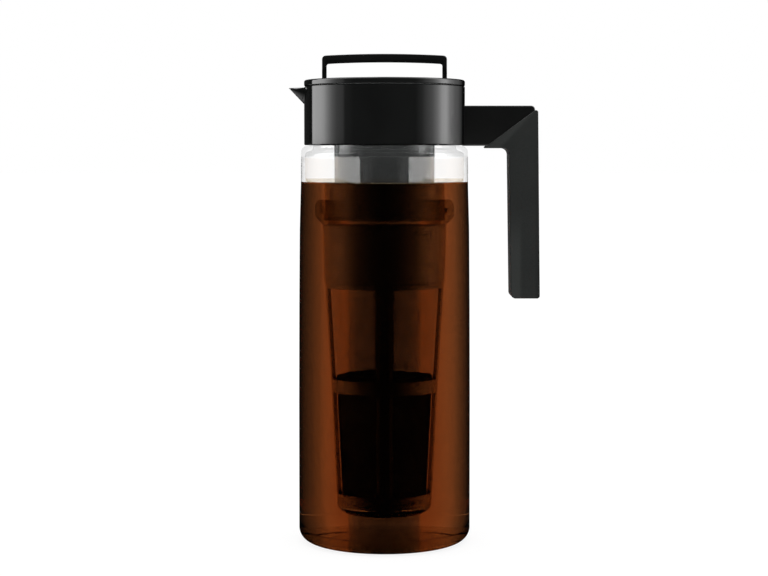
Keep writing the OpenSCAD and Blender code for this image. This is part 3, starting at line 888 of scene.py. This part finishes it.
# ------------------------------------------------------------------ bail
TOP, HALF, LEG, PIVOT = 310.9, 39.6, 2.9, 292.35
arc_pts = 14
bail_line = [(-HALF + LEG, PIVOT), (-HALF, PIVOT)]
bail_line += corner((-HALF, PIVOT), (-HALF, TOP - 1.1), (0, TOP), 2.4, 8)
bail_line += [(i * 38.5 / 15, TOP - 1.1 * (i / 15 * 1.0) ** 2) for i in range(-14, 15)]
bail_line += corner((0, TOP), (HALF, TOP - 1.1), (HALF, PIVOT), 2.4, 8)
bail_line += [(HALF, PIVOT), (HALF - LEG, PIVOT)]
bail_line += corner((HALF - LEG, PIVOT), (HALF - LEG, TOP - 6.3), (0, TOP - 5.3), 1.4, 6)
bail_line += [(i * 35.2 / 15, TOP - 5.3 - 0.9 * (i / 15) ** 2) for i in range(13, -14, -1)]
bail_line += corner((0, TOP - 5.3), (-HALF + LEG, TOP - 6.3), (-HALF + LEG, PIVOT), 1.4, 6)
bail = link("bail_strap", extrude_y(bail_line, 1.95), [GLOSS], "bail", replaces=("bail_handle",))
bevel(bail, 0.55, 3, 50.0)
# rounded leg ends
applied(bail)
ends = bmesh.new()
ends.from_mesh(bail.data)
for s in (-1, 1):
    cx = s * (HALF - LEG / 2) * MM
    ret = bmesh.ops.create_cone(ends, cap_ends=True, segments=40, radius1=1.93 * MM, radius2=1.93 * MM, depth=(LEG - 0.04) * MM,
                                matrix=Matrix.Translation((cx, 0, PIVOT * MM)) @ Matrix.Rotation(math.radians(90), 4, "Y"))
ends.to_mesh(bail.data)
ends.free()
sharp_by_angle(bail, 35.0)

# ------------------------------------------------------------------ finishes of the CAD nodes
FINISH = {
    "collar": GLOSS, "lid_cap": GLOSS, "lid_plug": SATIN, "pour_strainer": SATIN,
    "neck_gasket": SILICONE, "lid_seal": SILICONE, "flange_gasket": SILICONE, "spout_pad": SILICONE,
    "socket_gasket": SILICONE, "basket_gasket": SMOKE,
    "handle_screws": STEEL, "bail_pins": STEEL,
    "infuser_tube": SMOKE, "basket_frame": SMOKE_BASKET, "basket_base": SMOKE,
}
for name, m in FINISH.items():
    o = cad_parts[name]
    if not o.material_slots:
        o.data.materials.append(m)
    for s in o.material_slots:
        s.material = m

# ------------------------------------------------------------------ floor
bm = bmesh.new()
bmesh.ops.create_grid(bm, x_segments=2, y_segments=2, size=30.0)
me = bpy.data.meshes.new("floor")
bm.to_mesh(me)
bm.free()
floor = bpy.data.objects.new("floor", me)
scene.collection.objects.link(floor)
floor.location = (0, 0, -0.0002)
fm, n = material("pale_floor")
d = n.add("ShaderNodeBsdfDiffuse")
d.inputs["Color"].default_value = (0.20, 0.20, 0.20, 1)
em = n.add("ShaderNodeEmission")
em.inputs["Color"].default_value = (1, 1, 1, 1)
em.inputs["Strength"].default_value = 0.86
ad = n.add("ShaderNodeAddShader")
n.link(d.outputs[0], ad.inputs[0])
n.link(em.outputs[0], ad.inputs[1])
output(n, ad.outputs[0])
me.materials.append(fm)
floor.visible_glossy = False
floor.visible_transmission = False

# ------------------------------------------------------------------ studio light, all from the surroundings
world = bpy.data.worlds.new("studio")
scene.world = world
world.use_nodes = True
n = Nodes(world.node_tree)
co = n.add("ShaderNodeTexCoord").outputs["Generated"]
sep = n.add("ShaderNodeSeparateXYZ")
n.put(sep.inputs[0], co)
X, Y, Z = sep.outputs
# compass angle from the photographed side (-Y), -1..1, positive to the right
phi = n.math("DIVIDE", n.math("ARCTAN2", X, n.math("MULTIPLY", Y, -1.0)), math.pi)
pos = n.math("MULTIPLY_ADD", phi, 0.5, 0.5)


def at(deg):
    return 0.5 + deg / 360.0


K = 6.5  # brightest box
boxes = [
    (0.0, 0.03 / K), (at(-140), 0.02 / K), (at(-126.5), 0.0), (at(-125.0), 2.9 / K), (at(-120), 3.4 / K), (at(-103), 4.6 / K), (at(-96), 4.4 / K), (at(-88), 2.9 / K),
    (at(-80), 1.6 / K), (at(-72), 0.85 / K), (at(-61), 0.56 / K), (at(-58.0), 0.13 / K), (at(-50), 0.10 / K), (at(-45), 0.05 / K),
    (at(45), 0.05 / K), (at(55), 0.3 / K), (at(58), 0.5 / K), (at(72), 1.3 / K), (at(81), 2.6 / K), (at(90), 4.8 / K), (at(98), 4.8 / K),
    (at(107), 2.2 / K), (at(120), 0.85 / K), (at(127), 0.6 / K), (at(137), 0.24 / K), (at(149), 0.0), (1.0, 0.0),
]
side = n.math("MULTIPLY", n.ramp(pos, boxes), K)
above = n.remap(Z, 0.0005, 0.0075, 0.0, 1.0, "SMOOTHSTEP")
side = n.math("MULTIPLY", side, above)
front_dark = n.math("MULTIPLY", n.remap(Z, 0.0005, 0.0075, 1.0, 0.0, "SMOOTHSTEP"), 0.004)
below = n.remap(Z, -0.24, -0.55, 0.0, 0.9, "SMOOTHSTEP")
top_box = n.remap(Z, 0.6, 0.85, 0.0, 0.8, "SMOOTHSTEP")
gloss_env = n.math("ADD", n.math("ADD", side, front_dark), n.math("ADD", below, top_box))
# what mirrors deep inside the clear parts: two wide boxes
wide = [
    (0.0, 0.8 / K), (at(-150), 1.1 / K), (at(-120), 3.0 / K), (at(-90), 5.2 / K), (at(-62), 6.4 / K), (at(-58.5), 6.4 / K), (at(-56), 0.5 / K),
    (at(-44), 0.5 / K), (at(-32), 0.3 / K), (at(-25), 0.05 / K), (at(25), 0.05 / K), (at(32), 0.3 / K), (at(44), 0.5 / K),
    (at(56), 0.5 / K), (at(58.5), 6.4 / K), (at(62), 6.4 / K), (at(90), 5.2 / K), (at(120), 3.0 / K), (at(150), 1.1 / K), (1.0, 0.8 / K),
]
inner_env = n.math("MULTIPLY", n.ramp(pos, wide), K)
# what mirrors on the infuser in the coffee
deep = [
    (0.0, 1.0), (at(-165), 1.0), (at(-140), 1.2), (at(-114), 2.4), (at(-95), 1.95), (at(-79), 1.1), (at(-64), 0.5), (at(-55), 0.32),
    (at(-40), 0.16), (at(-30), 0.08), (at(0), 0.02), (at(30), 0.08), (at(40), 0.16), (at(55), 0.38), (at(64), 0.6), (at(79), 1.25),
    (at(95), 2.0), (at(114), 2.4), (at(140), 1.2), (at(165), 1.0), (1.0, 1.0),
]
deep_env = n.ramp(pos, [(p, (v / K, 0.75 * v / K, 0.53 * v / K)) for p, v in deep])
scaled = n.add("ShaderNodeVectorMath", operation="SCALE")
n.put(scaled.inputs[0], deep_env)
scaled.inputs["Scale"].default_value = K
deep_env = scaled.outputs[0]
# backlight through the clear parts: one white panel straight behind, dimmer away from it, and the same in front
back = n.ramp(pos, [
    (0.0, 1.0), (at(-167), 1.0), (at(-164.5), 0.93), (at(-162), 0.78), (at(-159.9), 0.63), (at(-157.2), 0.43), (at(-153.6), 0.30), (at(-151.8), 0.24),
    (at(-140.4), 0.056), (at(-128), 0.03), (at(-60), 0.03), (at(-38), 0.12),
    (at(-28), 0.44), (at(-17), 1.0), (at(17), 1.0), (at(28), 0.44), (at(38), 0.12), (at(60), 0.03), (at(128), 0.02), (at(140.4), 0.036),
    (at(151.8), 0.15), (at(157.9), 0.27), (at(159.9), 0.37), (at(161.5), 0.46), (at(163.3), 0.55), (at(164.5), 0.73), (at(165.8), 0.89),
    (at(166.8), 1.0), (1.0, 1.0),
])
panels = back

lp = n.add("ShaderNodeLightPath")
is_gl = n.math("GREATER_THAN", lp.outputs["Glossy Depth"], 0.5)
is_tr = n.math("GREATER_THAN", lp.outputs["Transmission Depth"], 0.5)
is_df = n.math("GREATER_THAN", lp.outputs["Diffuse Depth"], 0.5)
td = lp.outputs["Transmission Depth"]
few = n.math("MULTIPLY", n.math("LESS_THAN", td, 5.5), n.math("GREATER_THAN", Z, -0.12))
through = n.mix(is_tr, (1, 1, 1, 1), n.mix(few, panels, (1.05, 1.05, 1.05, 1)))
mirrored = n.mix(n.math("GREATER_THAN", td, 3.5), (1.15, 1.15, 1.15, 1), inner_env)
mirrored = n.mix(n.math("GREATER_THAN", td, 5.5), mirrored, deep_env)
mirrored = n.mix(n.math("GREATER_THAN", td, 9.5), mirrored, panels)
mirrored = n.mix(n.math("GREATER_THAN", Z, 0.08), mirrored, panels)
mirrored = n.mix(is_tr, gloss_env, mirrored)
seen = n.mix(is_gl, through, mirrored)
seen = n.mix(is_df, seen, (0.92, 0.92, 0.92, 1))
bg = n.add("ShaderNodeBackground")
n.put(bg.inputs["Color"], seen)
bg.inputs["Strength"].default_value = 1.0
wo = n.add("ShaderNodeOutputWorld")
n.link(bg.outputs[0], wo.inputs["Surface"])
